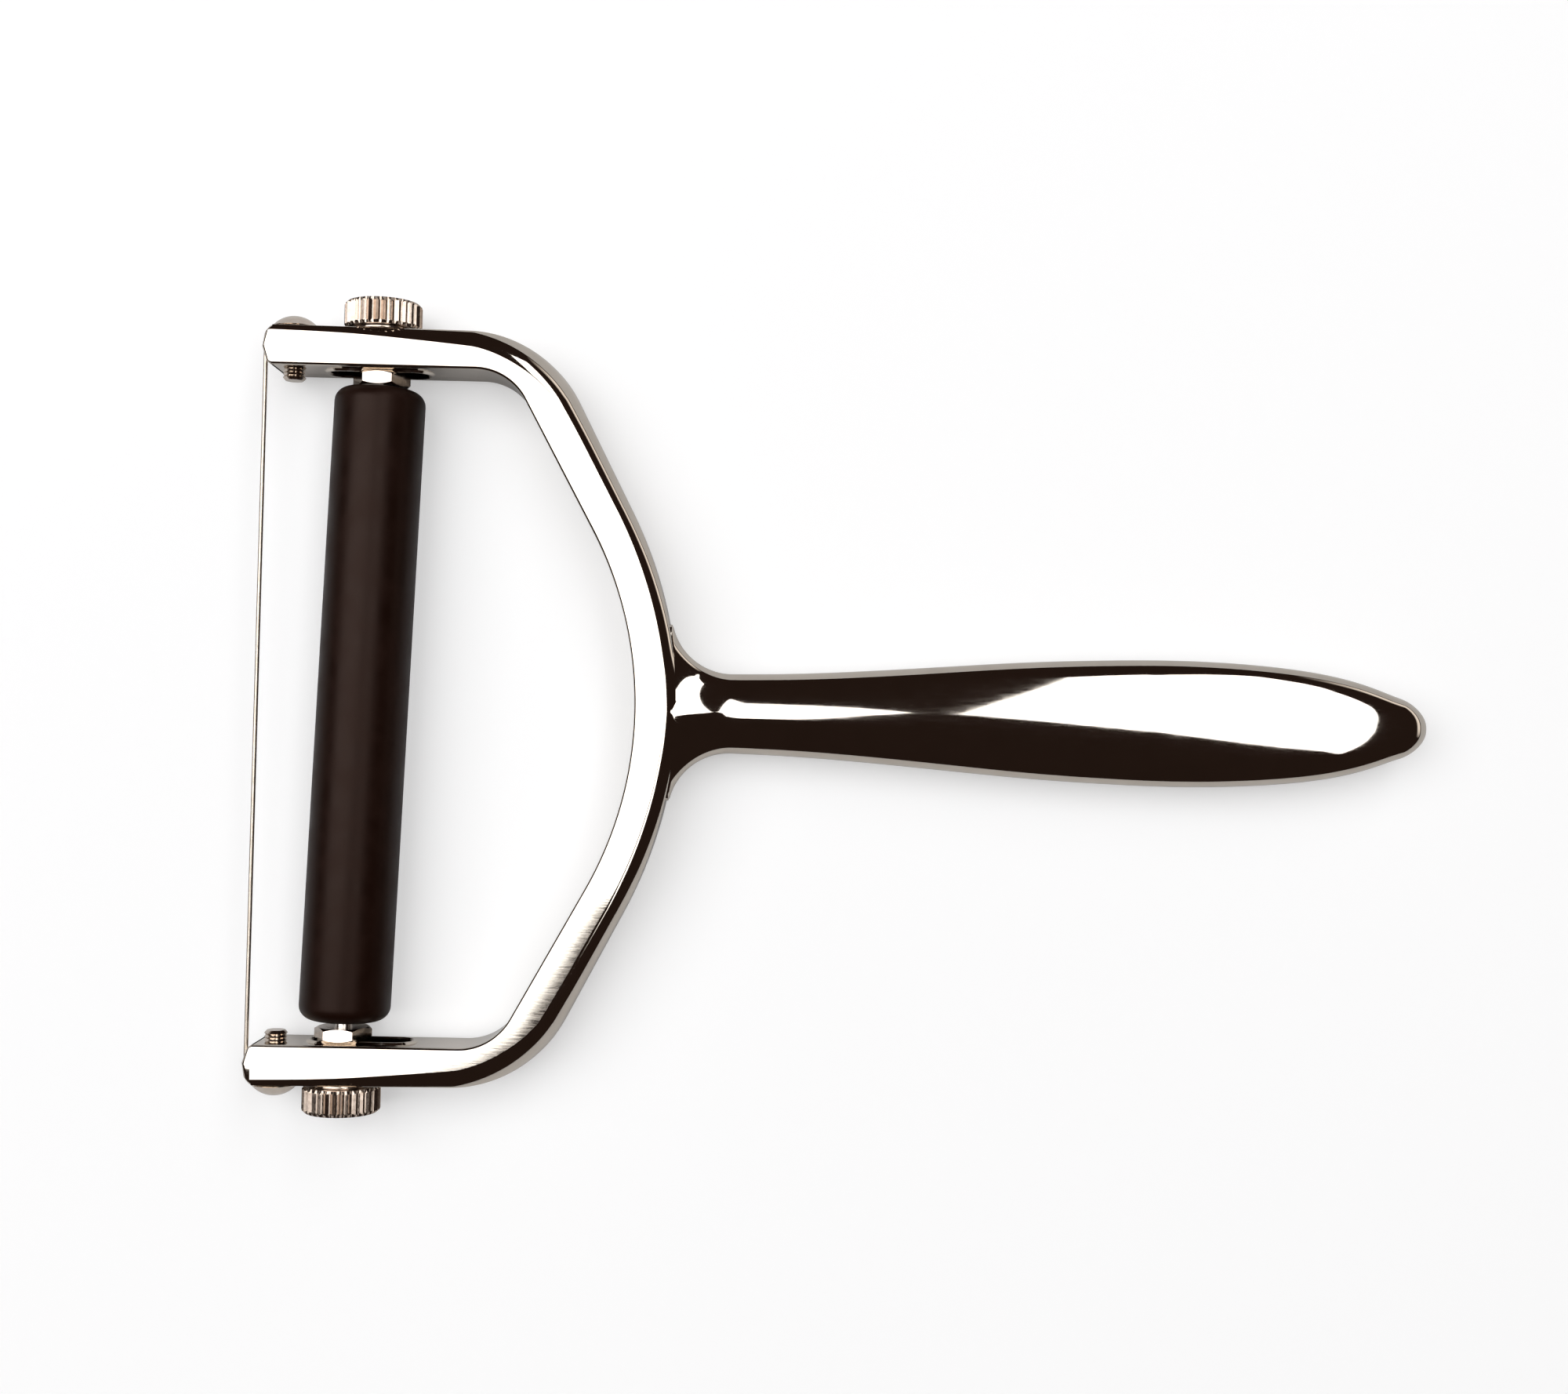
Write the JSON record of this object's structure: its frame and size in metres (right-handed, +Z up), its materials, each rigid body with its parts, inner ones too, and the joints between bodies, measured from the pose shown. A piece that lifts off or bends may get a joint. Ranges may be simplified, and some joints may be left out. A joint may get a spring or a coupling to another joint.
{
  "type": "cheese slicer",
  "caption": "Wire cheese slicer with a chrome Y-shaped yoke and handle, a taut cutting wire and an adjustable dark roller held by knurled thumbscrews.",
  "frame": {"origin": "under the middle of the object's box, on the surface it lies on", "axes": "+X from the cutting wire to the handle's end, +Y to the right arm, +Z up out of the flat yoke"},
  "size_m": [0.1652, 0.1136, 0.0126],
  "materials": {
    "polished_casting": "polished",
    "steel_wire": "satin",
    "nickel_screws": "polished",
    "nickel_knobs": "polished",
    "plated_nuts": "polished",
    "axle_steel": "satin",
    "roller_plastic": "matte"
  },
  "bodies": {
    "frame": {"yoke_handle": "polished_casting", "cutting_wire": "steel_wire", "right_wire_screw": "nickel_screws", "left_wire_screw": "nickel_screws"},
    "right_clamp": {"right_lock_nut": "plated_nuts"},
    "left_clamp": {"left_lock_nut": "plated_nuts"},
    "right_washer": {"right_washer": "nickel_screws"},
    "left_washer": {"left_washer": "nickel_screws"},
    "right_knob": {"right_thumbscrew": "nickel_knobs"},
    "left_knob": {"left_thumbscrew": "nickel_knobs"},
    "axle": {"roller_axle": "axle_steel"},
    "roller": {"roller": "roller_plastic"}
  },
  "joints": [
    {"name": "roller_adjust", "type": "slide", "parent": "frame", "child": "right_clamp", "axis": [1, 0, 0], "range_m": [-0.0005, 0.0045]},
    {"name": "roller_skew", "type": "hinge", "parent": "right_clamp", "child": "axle", "pos_m": [-0.0664, 0.04725, 0.0063], "axis": [0, 0, 1], "range_deg": [-0.2, 1.79]},
    {"name": "left_clamp_shift", "type": "slide", "parent": "right_clamp", "child": "left_clamp", "axis": [1, 0, 0], "range_m": [-0.0004, 0.0031]},
    {"name": "roller_spin", "type": "hinge", "parent": "axle", "child": "roller", "pos_m": [-0.06788, 0, 0.0063], "axis": [0.0312, 0.9995, 0], "continuous": true},
    {"name": "right_knob_lift", "type": "slide", "parent": "right_clamp", "child": "right_washer", "axis": [0, 1, 0], "range_m": [0, 0.0014]},
    {"name": "right_knob_turn", "type": "hinge", "parent": "right_washer", "child": "right_knob", "pos_m": [-0.0664, 0.054, 0.0063], "axis": [0, 1, 0], "range_deg": [0, 724]},
    {"name": "left_knob_lift", "type": "slide", "parent": "left_clamp", "child": "left_washer", "axis": [0, -1, 0], "range_m": [0, 0.0014]},
    {"name": "left_knob_turn", "type": "hinge", "parent": "left_washer", "child": "left_knob", "pos_m": [-0.06935, -0.054, 0.0063], "axis": [0, -1, 0], "range_deg": [0, 724]}
  ],
  "couplings": [
    {"joint": "left_clamp_shift", "follows": "roller_skew", "m_per_rad": 0.0945},
    {"joint": "right_knob_turn", "follows": "right_knob_lift", "rad_per_m": 8976},
    {"joint": "left_knob_turn", "follows": "left_knob_lift", "rad_per_m": 8976}
  ]
}
